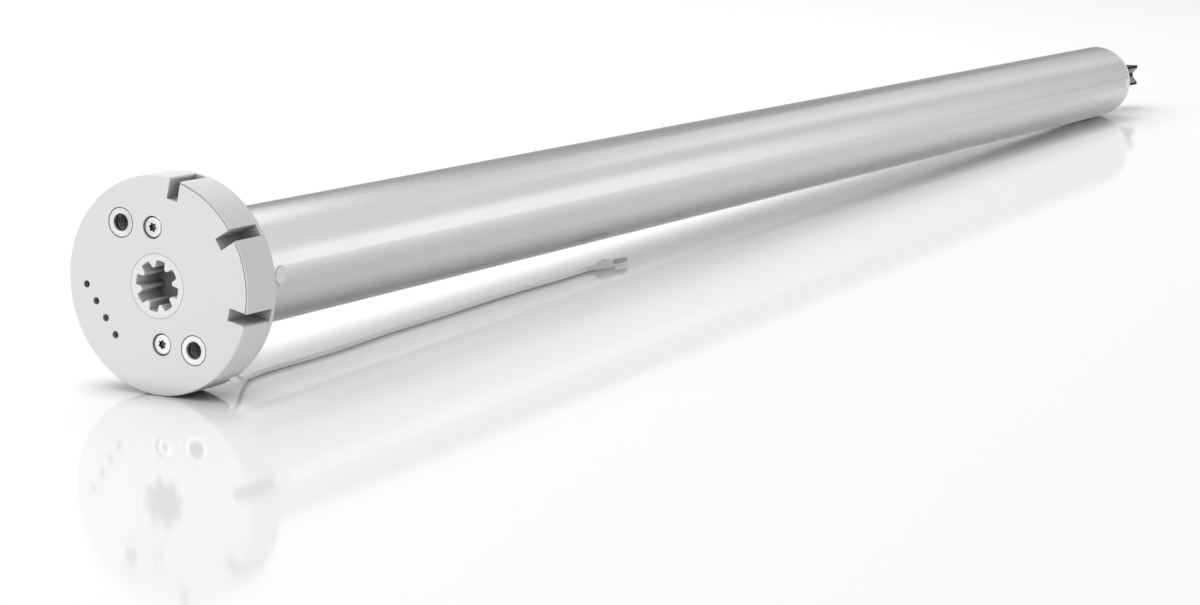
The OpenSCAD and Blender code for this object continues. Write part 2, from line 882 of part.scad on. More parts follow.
module relays() {
    color("#e2e2e0")
        for (side = [-1, 1])
            translate([0, side * relay_pitch / 2, 0])
                under_board(relay_x, relay_len, relay_w / 2, hang((relay_pitch + relay_w) / 2));
}

module transformer() {
    core_y = transformer_w / 2;
    coil_y = 1.15 * core_y;
    color("#4a4b4e") {
        under_board(transformer_x, transformer_len, core_y, hang(core_y));
        under_board(transformer_x + transformer_len / 5, 0.6 * transformer_len, coil_y, 0.7 * hang(coil_y));
    }
}

module bulk_capacitor() {
    color("#2c3a66")
        translate([0, 0, board_z - capacitor_d / 2])
            rod(capacitor_x, capacitor_x + capacitor_len, capacitor_d / 2);
}

module heat_sink() {
    color("#aeb0b3") {
        under_board(heat_sink_x, heat_sink_len, heat_sink_w / 2, fin_t);
        for (k = [-2:2])
            translate([0, k * (heat_sink_w - fin_t) / 4, 0])
                under_board(heat_sink_x, heat_sink_len, fin_t / 2, heat_sink_h);
    }
}

module radio_module() {
    color("#c7c8ca")
        under_board(radio_x, radio_len, radio_w / 2, radio_h);
}

module motor_connector() {
    color("#d8d9da") {
        under_board(logic_board_end - plug_block_len - 2, plug_block_len, plug_block_w / 2, plug_block_h);
        for (k = [-1:1])
            translate([0, k * pin_pitch, motor_wire_z])
                rod(logic_board_end - 2 - eps, motor_x - 1.5, wire_d / 2);
    }
}

module sensor_board() {
    color("#2f6b46")
        rod(motor_x - 1.5, motor_x, bell_r - 1);
}

module motor_dampers() {
    color("#2a2a2b") {
        pipe(motor_x, motor_x + damper_len, inner_r, bell_r);
        pipe(motor_end - damper_len, motor_end, inner_r, bell_r);
    }
}

// An end bell from its hub's free face at x0, with the bearing's seat inside
module end_bell(x0, toward) {
    shoulder = x0 + toward * damper_len;
    inside = shoulder + toward * bell_t;
    difference() {
        union() {
            rod(min(x0, shoulder), max(x0, shoulder), bell_r);
            rod(min(shoulder, inside), max(shoulder, inside), inner_r);
        }
        rod(min(x0 - toward, shoulder - toward * 2), max(x0 - toward, shoulder - toward * 2), bell_r - 3);
        rod(min(x0, inside) - 1, max(x0, inside) + 1, bearing_d / 2 - 2);
        rod(min(inside - toward * bearing_w, inside + toward),
            max(inside - toward * bearing_w, inside + toward), bearing_d / 2);
    }
}

module motor_front_bell() {
    color("#9a9ca0")
        end_bell(motor_x, 1);
}

module motor_rear_bell() {
    color("#9a9ca0")
        end_bell(motor_end, -1);
}

module motor_can() {
    color("#7f8286")
        pipe(can_x, can_end, inner_r, can_r);
}

module stator_slice(depth) {
    difference() {
        circle(r = can_r);
        circle(r = stator_bore_r);
        for (k = [0:slot_count - 1])
            rotate(k * 360 / slot_count)
                translate([stator_bore_r + 1.5, -depth / 2])
                    square([can_r - stator_bore_r - 4, depth]);
    }
}

module stator_core() {
    color("#6d7074")
        along(rotor_x - 2)
            linear_extrude(height = rotor_len + 4)
                stator_slice(5);
}

module stator_windings() {
    color("#a85a2a")
        difference() {
            union() {
                pipe(rotor_x - 12, rotor_x - 2, can_r - 2.5, stator_bore_r + 1.5);
                pipe(rotor_x + rotor_len + 2, rotor_x + rotor_len + 12, can_r - 2.5, stator_bore_r + 1.5);
                for (k = [0:slot_count - 1])
                    rotate([k * 360 / slot_count, 0, 0])
                        span([rotor_x - 3, stator_bore_r + 1.7, -2.3],
                             [rotor_x + rotor_len + 3, can_r - 2.7, 2.3]);
            }
            rod(rotor_x - 20, rotor_x + rotor_len + 20, stator_bore_r + 1.5);
        }
}

module motor_bearings() {
    color("#b7b9bc") {
        pipe(can_x - bearing_w, can_x, bearing_d / 2, shaft_d / 2 + run_gap);
        pipe(can_end, can_end + bearing_w, bearing_d / 2, shaft_d / 2 + run_gap);
    }
}

module rotor() {
    color("#5f6165")
        pipe(rotor_x, rotor_x + rotor_len, rotor_d / 2, shaft_d / 2);
}

module motor_shaft() {
    color("#a9abae") {
        rod(motor_x + 1.5, gear_x + end_play, shaft_d / 2);
        rod(can_x + slide_gap, rotor_x, shaft_d / 2 + 1);
        rod(rotor_x + rotor_len, can_end - slide_gap, shaft_d / 2 + 1);
        along(gear_x + end_play - 0.2)
            linear_extrude(height = gear_w + 0.4)
                gear_outline(sun_teeth, 0);
    }
}

module sensor_magnet() {
    color("#4b4c50")
        pipe(motor_x + 1.5, motor_x + 4.5, 6, shaft_d / 2);
}

module brake_coil() {
    color("#8e9094")
        pipe(brake_x, brake_x + coil_len, inner_r, shaft_d / 2 + 2);
}

module brake_armature() {
    color("#a4a6a9")
        pipe(armature_x, armature_x + armature_t, inner_r, shaft_d / 2 + 2);
}

module brake_disc() {
    color("#454548") {
        pipe(friction_x, friction_x + friction_t, friction_d / 2, shaft_d / 2);
        pipe(friction_x - armature_t, friction_x + eps, shaft_d / 2 + 1.6, shaft_d / 2);
    }
}

module gearbox_plate() {
    color("#9fa1a5")
        pipe(plate_x, plate_x + front_plate_t, inner_r, sun_tip_r + 0.4);
}

function roll(rb, r) = sqrt(max(0, (r / rb) * (r / rb) - 1)) * 180 / PI;
function involute(rb, r) = roll(rb, r) - atan(roll(rb, r) * PI / 180);

// Half the angle of a tooth at radius r, for a gear whose pitch-circle tooth is thinned by the backlash
function half_tooth(teeth, r, thin) =
    let (rp = gear_module * teeth / 2, rb = rp * cos(pressure_angle))
    90 / teeth - thin / rp * 90 / PI + involute(rb, rp) - involute(rb, max(r, rb));

// The closed outline of a spur gear: radii from root to tip up one flank and down the other
function gear_points(teeth, turn, radii, thin) =
    [for (k = [0:teeth - 1], side = [-1, 1], j = [0:len(radii) - 1])
         let (r = radii[side < 0 ? j : len(radii) - 1 - j],
              a = turn + k * 360 / teeth + side * half_tooth(teeth, r, thin))
         r * [cos(a), sin(a)]];

function flank(low, high) = [for (j = [0:3]) low + (high - low) * j / 3];

function gear_radii(teeth) =
    let (rp = gear_module * teeth / 2)
    concat([rp - dedendum * gear_module], flank(max(rp * cos(pressure_angle), rp - 0.9 * gear_module),
                                                 rp + addendum * gear_module));

module gear_outline(teeth, turn) {
    polygon(gear_points(teeth, turn, gear_radii(teeth), backlash));
}

module ring_gear() {
    pitch_r = gear_module * ring_teeth / 2;
    color("#a7a9ac")
        difference() {
            rod(gear_x, gear_end, inner_r);
            along(gear_x - 1)
                linear_extrude(height = gear_end - gear_x + 2)
                    polygon(gear_points(ring_teeth, 0, flank(pitch_r - ring_addendum * gear_module,
                                                             pitch_r + dedendum * gear_module), -backlash));
        }
}

function stage_x(stage) = gear_x + (stage - 1) * stage_len + end_play;

// The tooth that makes a planet at orbit angle theta mesh with its sun and ring
function planet_turn(theta) = theta + 180 + (theta * sun_teeth - 180) / planet_teeth;

module planet(stage, theta) {
    color("#c3c5c8")
        along(stage_x(stage))
            translate(orbit_r * [cos(theta), sin(theta), 0])
                linear_extrude(height = gear_w)
                    difference() {
                        gear_outline(planet_teeth, planet_turn(theta));
                        circle(r = planet_pin_d / 2 + run_gap);
                    }
}

module carrier(stage) {
    x = stage_x(stage) + gear_w + end_play;
    color("#8d8f93") {
        rod(x, x + plate_t, carrier_r);
        for (k = [0:2])
            along(stage_x(stage))
                translate(orbit_r * [cos(120 * k), sin(120 * k), 0])
                    cylinder(h = gear_w + end_play + eps, r = planet_pin_d / 2);
        if (stage < 3)
            along(x + plate_t - eps)
                linear_extrude(height = gear_w + end_play + 0.2)
                    gear_outline(sun_teeth, 0);
    }
}

module output_housing() {
    color("#a1a3a7")
        difference() {
            rod(output_x, output_end, inner_r);
            rod(output_x - 1, output_end + 1, bush_d / 2);
            rod(output_x + bush_w + 2, output_end - bush_w - 2, inner_r - 3);
        }
}

module output_bushes() {
    color("#b08a4a")
        for (x = [output_x + 1, output_end - bush_w])
            pipe(x, x + bush_w, bush_d / 2, drive_d / 2 + run_gap);
}

module tenon_outline() {
    w = tenon_w / 2;
    h = tenon_h / 2;
    half = [[w, h], [w, h - flange_edge], [web_w / 2, web_h / 2]];
    polygon(concat(half, [for (k = [2:-1:0]) [half[k][0], -half[k][1]]], -half,
                   [for (k = [2:-1:0]) [-half[k][0], half[k][1]]]));
}

module drive_shaft() {
    color("#3f4043")
        difference() {
            union() {
                rod(drive_x, drive_face + neck_len, drive_d / 2);
                along(drive_face + neck_len - eps)
                    linear_extrude(height = drive_reach - neck_len + eps)
                        tenon_outline();
            }
            rod(drive_end - drive_hole_depth, drive_end + 1, drive_hole_d / 2);
            pipe(clip_x, clip_x + 1.2, drive_d, drive_d / 2 - 0.7);
        }
}

module shaft_clip() {
    color("#6f7175")
        pipe(clip_x + 0.1, clip_x + 1.1, drive_d / 2 + 2, drive_d / 2 - 0.65);
}

module end_plate() {
    color("#f0f0f0")
        difference() {
            union() {
                rod(lip_x - plug_len, lip_x + eps, inner_r);
                rod(lip_x, lip_x + lip_t, tube_r - lip_step);
                for (side = [0, 180])
                    rotate([side, 0, 0])
                        intersection() {
                            rod(lip_x - tab_len + 0.1, lip_x + 1, tube_r);
                            span([lip_x - tab_len + 0.1, 0, -tab_w / 2], [lip_x + 1, tube_r, tab_w / 2]);
                        }
            }
            rod(lip_x - plug_len - 1, lip_x + lip_t + 1, drive_d / 2 + slide_gap);
        }
}

face_cover();
head_housing();
star_socket();
bracket_inserts();
cover_screws();
sounder();
power_inlet();
inlet_pins();
power_wires();
antenna_grommet();
antenna_cord();
antenna_sleeve();
antenna_tip();
tube();
retaining_lugs();
seal_ring();
electronics_tray();
power_board();
logic_board();
input_connector();
noise_choke();
relays();
transformer();
bulk_capacitor();
heat_sink();
radio_module();
motor_connector();
sensor_board();
motor_dampers();
motor_front_bell();
motor_rear_bell();
motor_can();
stator_core();
stator_windings();
motor_bearings();
rotor();
motor_shaft();
sensor_magnet();
brake_coil();
brake_armature();
brake_disc();
gearbox_plate();
ring_gear();
carrier(1);  // carrier_1
carrier(2);  // carrier_2
carrier(3);  // carrier_3
planet(1, 0);  // planet_1a
planet(1, 120);  // planet_1b
planet(1, 240);  // planet_1c
planet(2, 0);  // planet_2a
planet(2, 120);  // planet_2b
planet(2, 240);  // planet_2c
planet(3, 0);  // planet_3a
planet(3, 120);  // planet_3b
planet(3, 240);  // planet_3c
output_housing();
output_bushes();
drive_shaft();
shaft_clip();
end_plate();
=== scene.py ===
# %% [markdown]
# # A tubular motor for a roller blind
#
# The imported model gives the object's true shape as a frame of named nodes: a round head, a long tube, a drive
# tenon at the far end and a thin antenna lead. This lesson dresses that frame. Visible nodes whose shape is
# right keep it and get a finish, and the soft or finely edged ones are replaced by modelled pieces.
# Everything is in metres, with +X along the tube from the head's face and +Z up.

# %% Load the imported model
import math
import bmesh
import bpy
from mathutils import Matrix, Vector


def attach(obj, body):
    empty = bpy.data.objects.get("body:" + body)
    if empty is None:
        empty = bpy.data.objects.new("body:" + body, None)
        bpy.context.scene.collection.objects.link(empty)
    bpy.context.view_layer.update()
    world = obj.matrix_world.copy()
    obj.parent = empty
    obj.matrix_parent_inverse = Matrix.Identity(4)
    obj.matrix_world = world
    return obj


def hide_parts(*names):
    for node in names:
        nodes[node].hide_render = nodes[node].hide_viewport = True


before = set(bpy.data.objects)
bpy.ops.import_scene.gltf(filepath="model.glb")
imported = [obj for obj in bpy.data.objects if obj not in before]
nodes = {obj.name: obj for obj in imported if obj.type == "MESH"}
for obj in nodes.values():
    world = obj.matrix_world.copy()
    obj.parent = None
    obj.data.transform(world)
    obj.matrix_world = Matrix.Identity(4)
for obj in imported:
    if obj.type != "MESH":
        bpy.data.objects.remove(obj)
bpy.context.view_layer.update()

mm = 0.001

# %% [markdown]
# ## The camera
#
# The photograph was taken from beyond the head and a little above it, with a long lens. Its place, aim and
# focal length were worked out from the ellipses of the head and the tube's tapering outline, so the render
# lines up with it. The lens has no shift and no depth of field.

# %% The camera
scene = bpy.context.scene
photo_width = 1200
focal_px = 2844.7
sensor_mm = 36.0
camera_data = bpy.data.cameras.new("Camera")
camera_data.sensor_width = sensor_mm
camera_data.lens = focal_px * sensor_mm / photo_width
camera_data.clip_start, camera_data.clip_end = 0.01, 50
camera = bpy.data.objects.new("Camera", camera_data)
scene.collection.objects.link(camera)
look = Vector((0.86038, 0.48164, -0.16663)).normalized()
right = Vector((0.48972, -0.87184, 0.00863))
right = (right - look * right.dot(look)).normalized()
camera.matrix_world = Matrix((right, right.cross(look), -look)).transposed().to_4x4()
stands_at = Vector((-708.71, -557.93, 146.58))
camera.matrix_world.translation = stands_at * mm
scene.camera = camera
print("lens:", round(camera_data.lens, 1), "mm, distance to the head:", round(stands_at.length), "mm")

# %% [markdown]
# ## One helper for colour, one for nodes
#
# Colours are easiest to judge as sRGB hex values, the way a paint chart gives them, but the renderer works in
# linear light, so one function turns the first into the second. A second adds a shader node, sets its values
# and links its inputs in a single call, which keeps each material short enough to read in one look. An input
# goes by its name, or by its number where a node has several of one name.

# %% Colour
def linear(hex_code):
    """An sRGB hex colour as linear RGBA."""
    channels = [int(hex_code[i:i + 2], 16) / 255 for i in (1, 3, 5)]
    return [c / 12.92 if c <= 0.04045 else ((c + 0.055) / 1.055) ** 2.4 for c in channels] + [1.0]


print("mid grey in linear light:", [round(v, 3) for v in linear("#808080")[:3]])

# %% Nodes and their links
def socket_of(made, name):
    """The node's input of that name that is in use, or of that number."""
    if isinstance(name, int):
        return made.inputs[name]
    return next(i for i in made.inputs if i.enabled and i.name == name)


def link(tree, made, links):
    """Plugs outputs, or the first output of nodes, into inputs of a node."""
    for name, source in links.items():
        if isinstance(source, bpy.types.Node):
            source = next(o for o in source.outputs if o.enabled)
        tree.links.new(source, socket_of(made, name))


def add(tree, kind, links=None, **values):
    """Adds a node with its settings, its inputs' values (underscores for spaces) and its links."""
    made = tree.nodes.new("ShaderNode" + kind)
    for name, value in values.items():
        if hasattr(made, name):
            setattr(made, name, value)
        else:
            socket_of(made, name.replace("_", " ")).default_value = value
    link(tree, made, links or {})
    return made


def new_material(name):
    """A material with nothing in it but its Principled shader and its output."""
    made = bpy.data.materials.new(name)
    made.use_nodes = True
    tree = made.node_tree
    tree.nodes.clear()
    shader = add(tree, "BsdfPrincipled")
    add(tree, "OutputMaterial", {"Surface": shader.outputs["BSDF"]})
    return made, tree, shader


print("materials before the first finish:", len(bpy.data.materials))

# %% [markdown]
# ## The antenna lead
#
# A radio motor has a thin, limp antenna wire in white PVC. It leaves the head through a small soft grommet,
# drops to the table and lies beside the tube to its end sleeve. The whole of it is in sight, so its length is
# what the photograph shows. A flexible wire is best made as a curve: one spline through the route's points,
# with a round bevel, follows gravity and the table without a kink. Blender counts each point's radius into the
# box of a curve, so the bevel is one metre and the radius itself is the real one.

# %% A round curve
def round_curve(name, kind, count, roundness):
    """A curve object of one spline, and its points, whose radius is the real one in metres."""
    curve = bpy.data.curves.new(name, "CURVE")
    curve.dimensions = "3D"
    curve.bevel_depth = 1
    curve.bevel_resolution = roundness
    curve.resolution_u = 10
    curve.use_fill_caps = True
    spline = curve.splines.new(kind)
    points = spline.bezier_points if kind == "BEZIER" else spline.points
    points.add(count - 1)
    made = bpy.data.objects.new(name, curve)
    scene.collection.objects.link(made)
    print(name, "has", len(points), "points")
    return made, points


# %% The antenna wire's curve
wire_diameter = 1.5 * mm
wire_route = [(15, -17.6, -29), (18.5, -16.8, -29.7), (23, -15, -31.5), (28.5, -12.4, -33.3),
              (35.4, -10, -34.1), (41.7, -9.1, -34), (52.5, -8.5, -33.8), (68.2, -9.1, -33.5),
              (88.7, -8.9, -33.1), (123.8, -6.7, -32.5), (156.2, -6.3, -31.9), (187.4, -5.1, -31.4),
              (217.2, -4.5, -30.9), (244.9, -5.1, -30.4), (268.3, -4.4, -30)]
last = len(wire_route) - 1
antenna_wire, wire_points = round_curve("antenna_wire", "BEZIER", len(wire_route), 5)
for i, (point, place) in enumerate(zip(wire_points, wire_route)):
    here = Vector(place)
    before = Vector(wire_route[max(i - 1, 0)])
    after = Vector(wire_route[min(i + 1, last)])
    along = (after - before).normalized() if 0 < i < last else Vector((1, 0, 0))
    point.co = here * mm
    point.radius = wire_diameter / 2
    point.handle_left = (here - along * (here - before).length / 3) * mm
    point.handle_right = (here + along * (after - here).length / 3) * mm
wire_length = sum(s.calc_length() for s in antenna_wire.data.splines)
print("antenna wire:", round(wire_length / mm, 1), "mm")

# %% [markdown]
# ## The antenna's strain relief
#
# A soft white grommet tapers onto the wire where it leaves the head, so that the wire isn't pinched at the
# edge of its hole. It bends a little with the wire, which a curve gives with one radius for each point.

# %% The strain relief
relief_route = [((10.2, -17.6, -29), 1.55), ((12.2, -17.6, -29), 1.55), ((12.4, -17.6, -29), 1.3),
                ((15, -17.6, -29), 1.15), ((16.2, -17.37, -29.2), 1.0), ((17.2, -17.13, -29.42), 0.86)]
antenna_relief, relief_points = round_curve("antenna_relief", "POLY", len(relief_route), 6)
for point, (place, radius) in zip(relief_points, relief_route):
    point.co = (*(Vector(place) * mm), 1)
    point.radius = radius * mm
print("strain relief:", relief_route[0][1] * 2, "mm thick, down to", relief_route[-1][1] * 2, "mm")

# %% [markdown]
# ## Turned pieces
#
# The inserts, the sleeve and the tip are round about one line. The quickest true shape for such a piece is a
# half outline that bmesh spins through a full turn. A few well placed points near each edge give the small
# radius that catches light on a real turned or moulded edge.

# %% Spinning an outline about the X axis
def turned(outline, steps=48):
    """A bmesh of the outline [(x, r), ...] in mm, spun about X. Points on the axis close it."""
    bm = bmesh.new()
    verts = [bm.verts.new((x * mm, 0, r * mm)) for x, r in outline]
    edges = [bm.edges.new(pair) for pair in zip(verts, verts[1:])]
    bmesh.ops.spin(bm, geom=verts + edges, cent=(0, 0, 0), axis=(1, 0, 0), angle=math.tau, steps=steps,
                   use_merge=True)
    bmesh.ops.remove_doubles(bm, verts=bm.verts[:], dist=1e-7)
    bmesh.ops.recalc_face_normals(bm, faces=bm.faces[:])
    return bm


def rounded(x, r, across, out, radius, count=4):
    """Points of a small edge radius at the corner (x, r): across is its side in x, out its side in r."""
    return [(x - across * radius * (1 - math.sin(a)), r - out * radius * (1 - math.cos(a)))
            for a in [math.pi / 2 * k / count for k in range(count + 1)]]


print("a 0.2 mm edge:", [(round(x, 2), round(r, 2)) for x, r in rounded(0, 1, 1, 1, 0.2, 2)])

# %% Turning a bmesh into a finished piece
def finished(name, bm, crease, moves):
    """A piece made of the bmesh at each of the places in moves, smooth but for edges over crease degrees."""
    one = bpy.data.meshes.new(name + "_part")
    bm.to_mesh(one)
    bm.free()
    whole = bmesh.new()
    for move in moves:
        copy = one.copy()
        copy.transform(move)
        whole.from_mesh(copy)
        bpy.data.meshes.remove(copy)
    bpy.data.meshes.remove(one)
    mesh = bpy.data.meshes.new(name)
    whole.to_mesh(mesh)
    whole.free()
    mesh.shade_smooth()
    mesh.set_sharp_from_angle(angle=math.radians(crease))
    made = bpy.data.objects.new(name, mesh)
    scene.collection.objects.link(made)
    print(name, "has", len(mesh.vertices), "vertices")
    return made


# %% [markdown]
# ## The antenna's end pieces
#
# At the far end the wire is crimped into a moulded sleeve with a thumbnail-sized flag, and beyond that sits the
# bare antenna under a grey heat-shrink tube with a rounded end. The sleeve and tip are turned shapes, and the
# flag is a disc pressed thin. The sleeve lies on the table, which leans by the small angle at which the motor
# rests on the head's rim and on the tube's far end, and it holds the tip just clear of it. The flag stands on
# edge beside the sleeve, a whole disc, so the table hides the part of it that dips below the surface.

# %% The moulded sleeve
head_radius, tube_radius, tube_far_end = 35.5, 20, 880
rest_slope = math.asin((head_radius - tube_radius) / tube_far_end)
sleeve_yaw, tip_yaw = math.radians(-20), math.radians(-5)
lie = Matrix.Rotation(-rest_slope, 4, "Y")
wire_end = Matrix.Translation((Vector(wire_route[-1]) + Vector((0, 0, 0.25))) * mm)
sleeve_place = wire_end @ Matrix.Rotation(sleeve_yaw, 4, "Z") @ lie
sleeve_outline = ([(-0.5, 0), (-0.5, 0.8)] + rounded(-0.5, 1.0, -1, 1, 0.2)
                  + [(2.5, 0.98), (2.7, 0.9), (3.0, 0.9), (3.2, 0.98)] + rounded(15, 1.0, 1, 1, 0.25)
                  + [(15, 0)])
antenna_sleeve = finished("antenna_sleeve_moulding", turned(sleeve_outline, steps=32), crease=50,
                          moves=[sleeve_place])

# %% The flag on the sleeve
flag_radius, flag_height, flag_thickness, flag_edge = 5.2, 0.62, 1.1, 0.35
flag = bmesh.new()
bmesh.ops.create_circle(flag, cap_ends=True, segments=40, radius=flag_radius * mm)
bmesh.ops.scale(flag, vec=(1, flag_height, 1), verts=flag.verts[:])
rim = bmesh.ops.extrude_face_region(flag, geom=flag.faces[:])
bmesh.ops.translate(flag, vec=(0, 0, flag_thickness * mm),
                    verts=[v for v in rim["geom"] if isinstance(v, bmesh.types.BMVert)])
bmesh.ops.recalc_face_normals(flag, faces=flag.faces[:])
edge_ring = [e for e in flag.edges if abs(e.verts[0].co.z - e.verts[1].co.z) < 1e-7]
bmesh.ops.bevel(flag, geom=edge_ring, offset=flag_edge * mm, offset_type="OFFSET", segments=3, profile=0.5,
                affect="EDGES", material=-1)
flag_place = (sleeve_place @ Matrix.Translation(Vector((9.6, 0.55, -0.25)) * mm)
              @ Matrix.Rotation(math.pi / 2, 4, "X"))
antenna_flag = finished("antenna_flag", flag, crease=40, moves=[flag_place])

# %% The covered tip
tip_place = (sleeve_place @ Matrix.Translation(Vector((14.6, 0, 1.2)) * mm)
             @ Matrix.Rotation(tip_yaw - sleeve_yaw, 4, "Z"))
tip_outline = [(0, 0), (0, 0.9), (0.15, 1.05), (8.4, 1.05), (8.75, 0.98), (9.05, 0.8), (9.25, 0.5), (9.32, 0)]
antenna_tip = finished("antenna_tip_tube", turned(tip_outline, steps=32), crease=50, moves=[tip_place])
print("tip starts at", [round(v / mm, 1) for v in tip_place.translation])

# %% [markdown]
# ## Inserts and screws in the head
#
# Two threaded brass-bodied inserts, bright zinc plated, take the wall bracket's M6 screws, and two small
# six-lobe screws hold the cover. They are the sharpest, brightest things on the face, so their chamfers, the
# thread inside the bore and the six lobes are modelled rather than painted. Their bores and recesses get a
# second material slot, a darker zinc that is painted shade: a real thread lies in shade far darker than its
# plated face.

# %% Places on the head and the second material slot
head_turn = math.radians(54)
insert_circle, screw_circle = 24, 18.8


def head_place(radius, angle):
    """A place on the head's face, at a radius in mm and an angle in degrees of the head's own hole pattern."""
    turn = head_turn + math.radians(angle)
    return Matrix.Translation(Vector((0, radius * math.cos(turn), radius * math.sin(turn))) * mm)


def mark_inside(bm, radius, depth):
    """Gives the faces nearer the axis than radius and deeper than depth, in mm, the second slot, of painted shade.
    """
    for face in bm.faces:
        middle = face.calc_center_median()
        face.material_index = int(math.hypot(middle.y, middle.z) < radius * mm and middle.x > depth * mm)


print("first insert at", [round(v / mm, 1) for v in head_place(insert_circle, 0).translation])

# %% Threaded inserts
thread_pitch, thread_depth, bore = 1.0, 0.45, 2.5
thread_turns, thread_start = 8, 9.4
thread = [(10, 0), (10, bore)]
for turn in range(thread_turns):
    start = thread_start - turn * thread_pitch
    thread += [(start, bore), (start - 0.12, bore), (start - 0.44, bore + thread_depth),
               (start - 0.56, bore + thread_depth), (start - 0.88, bore)]
bore_chamfer = [(0.5, bore), (0.06, 2.95), (0.02, 3.05)]
outer_groove = [(0.02, 4.6), (0.06, 4.66), (0.4, 4.7), (0.4, 4.9)]
bush = turned(thread + bore_chamfer + outer_groove + [(10.5, 4.9), (10.5, 0)], steps=64)
mark_inside(bush, radius=2.98, depth=0.1)
# The inserts' outer groove takes the painted shade too.
groove_radius, groove_depth = 4.67, 0.45
for face in bush.faces:
    middle = face.calc_center_median()
    if math.hypot(middle.y, middle.z) > groove_radius * mm and middle.x < groove_depth * mm:
        face.material_index = 1
inserts = finished("bracket_insert_bushes", bush, crease=30,
                   moves=[head_place(insert_circle, side) for side in (0, 180)])

# %% The six-lobe recess of a cover screw
screw = bmesh.new()
lobes, lobe_height, lobe_radius = 6, 0.17, 1.35
bmesh.ops.create_circle(screw, cap_ends=False, segments=72, radius=lobe_radius * mm,
                        matrix=Matrix.Rotation(math.pi / 2, 4, "Y"))
for vert in screw.verts:
    vert.co *= 1 + lobe_height * math.cos(lobes * math.atan2(vert.co.z, vert.co.y))
lobe_edges = screw.edges[:]


def grown(bm, edges, dx, radius=None, factor=1.0):
    """Extrudes a ring of edges by dx mm along X, onto a circle of radius mm or scaled by factor."""
    made = bmesh.ops.extrude_edge_only(bm, edges=edges)["geom"]
    for vert in [g for g in made if isinstance(g, bmesh.types.BMVert)]:
        flat = Vector((0, vert.co.y, vert.co.z))
        flat = flat.normalized() * radius * mm if radius else flat * factor
        vert.co = (vert.co.x + dx * mm, flat.y, flat.z)
    return [g for g in made if isinstance(g, bmesh.types.BMEdge)]


inner = lobe_edges
for dx, factor in ((0.12, 0.95), (1.25, 1.0), (0.3, 0.4)):
    inner = grown(screw, inner, dx, factor=factor)
bmesh.ops.contextual_create(screw, geom=inner)
print("recess:", len(screw.faces), "faces")

# %% The screw's head and shank
outer = grown(screw, lobe_edges, 0, radius=2.6)
for dx, radius in ((0.05, 2.9), (0.13, 3.13), (0.2, 3.24), (0.22, 3.3), (1.05, 3.3), (0, 1.5), (9.1, 1.5)):
    outer = grown(screw, outer, dx, radius=radius)
bmesh.ops.contextual_create(screw, geom=outer)
below_face = 0.25
bmesh.ops.translate(screw, vec=(below_face * mm, 0, 0), verts=screw.verts[:])
bmesh.ops.recalc_face_normals(screw, faces=screw.faces[:])
mark_inside(screw, radius=1.62, depth=0.3)
screw_angles_and_rolls = ((31.5, 12), (211.5, 40))
screws = finished("cover_screw_pair", screw, crease=30,
                  moves=[head_place(screw_circle, angle) @ Matrix.Rotation(math.radians(roll), 4, "X")
                         for angle, roll in screw_angles_and_rolls])

# %% [markdown]
# ## Who rides on what
#
# Every modelled piece says which CAD body carries it, and all but the added flag say which node they stand
# for. The node stays in the physics model, hidden, and the piece takes its place.

# %% Riding, replacing and the cord
for made, node_name, slot in ((antenna_wire, "antenna_cord", "cord_sheath"),
                              (antenna_relief, "antenna_grommet", "grommet"),
                              (antenna_sleeve, "antenna_sleeve", "cord_sheath"),
                              (antenna_tip, "antenna_tip", "tip_sheath"),
                              (inserts, "bracket_inserts", "zinc_steel"),
                              (screws, "cover_screws", "zinc_steel")):
    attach(made, "housing")
    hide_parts(node_name)
    print(made.name, "stands for", node_name)
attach(antenna_flag, "housing")

# %% [markdown]
# ## Finishes: moulded plastic
#
# The head is injection-moulded ABS with a fine spark-eroded texture, so it looks soft and matt. The eye reads
# that from three things: a very fine grain, a roughness that wanders a little, and small edge radii. The
# Bevel node rounds the shading of the CAD's sharp edges without touching their shape. Notches and holes in
# pale plastic lie in shade, and that shade is painted: the Ambient Occlusion node tells how closed in each
# point is, and the colour is mixed towards a dark grey there.

# %% Moulded plastic
cloud_mm, crease_mm = 28, 9
# A dark grey, painted into hollows as shade.
hollow_shade_grey = linear("#2a2a2b")


def moulded(name, colour, roughness, grain_mm=0.35, bump_mm=0.01, edge_mm=0.25, tint=0.03, painted_hollow_shade=0.0):
    """Injection-moulded plastic: grain grain_mm wide, edges that look rounded by edge_mm, painted shade in
    hollows.
    """
    material, tree, shader = new_material(name)
    place = add(tree, "TexCoord").outputs["Object"]
    grain = add(tree, "TexNoise", {"Vector": place}, Scale=1 / (grain_mm * mm), Detail=3.0, Roughness=0.6)
    clouds = add(tree, "TexNoise", {"Vector": place}, Scale=1 / (cloud_mm * mm), Detail=4.0)
    worn = [c * (1 - tint) for c in linear(colour)[:3]] + [1]
    shade = add(tree, "Mix", {"Factor": clouds}, data_type="RGBA", A=worn, B=linear(colour))
    # Painted shade: Ambient Occlusion finds the hollows, and the colour is mixed towards the dark grey there.
    hollow = add(tree, "AmbientOcclusion", samples=8, Distance=crease_mm * mm).outputs["AO"]
    shaded = add(tree, "MapRange", {"Value": hollow}, From_Min=0.3, From_Max=0.85, To_Min=painted_hollow_shade, To_Max=0.0)
    shade = add(tree, "Mix", {"Factor": shaded, "A": shade}, data_type="RGBA", B=hollow_shade_grey)
    matt = add(tree, "MapRange", {"Value": grain}, From_Min=0.2, From_Max=0.8,
               To_Min=roughness - 0.05, To_Max=roughness + 0.06)
    edge = add(tree, "Bevel", Radius=edge_mm * mm, samples=4)
    bump = add(tree, "Bump", {"Height": grain, "Normal": edge}, Strength=0.35, Distance=bump_mm * mm)
    link(tree, shader, {"Base Color": shade, "Roughness": matt, "Normal": bump})
    shader.inputs["IOR"].default_value = 1.5
    return material
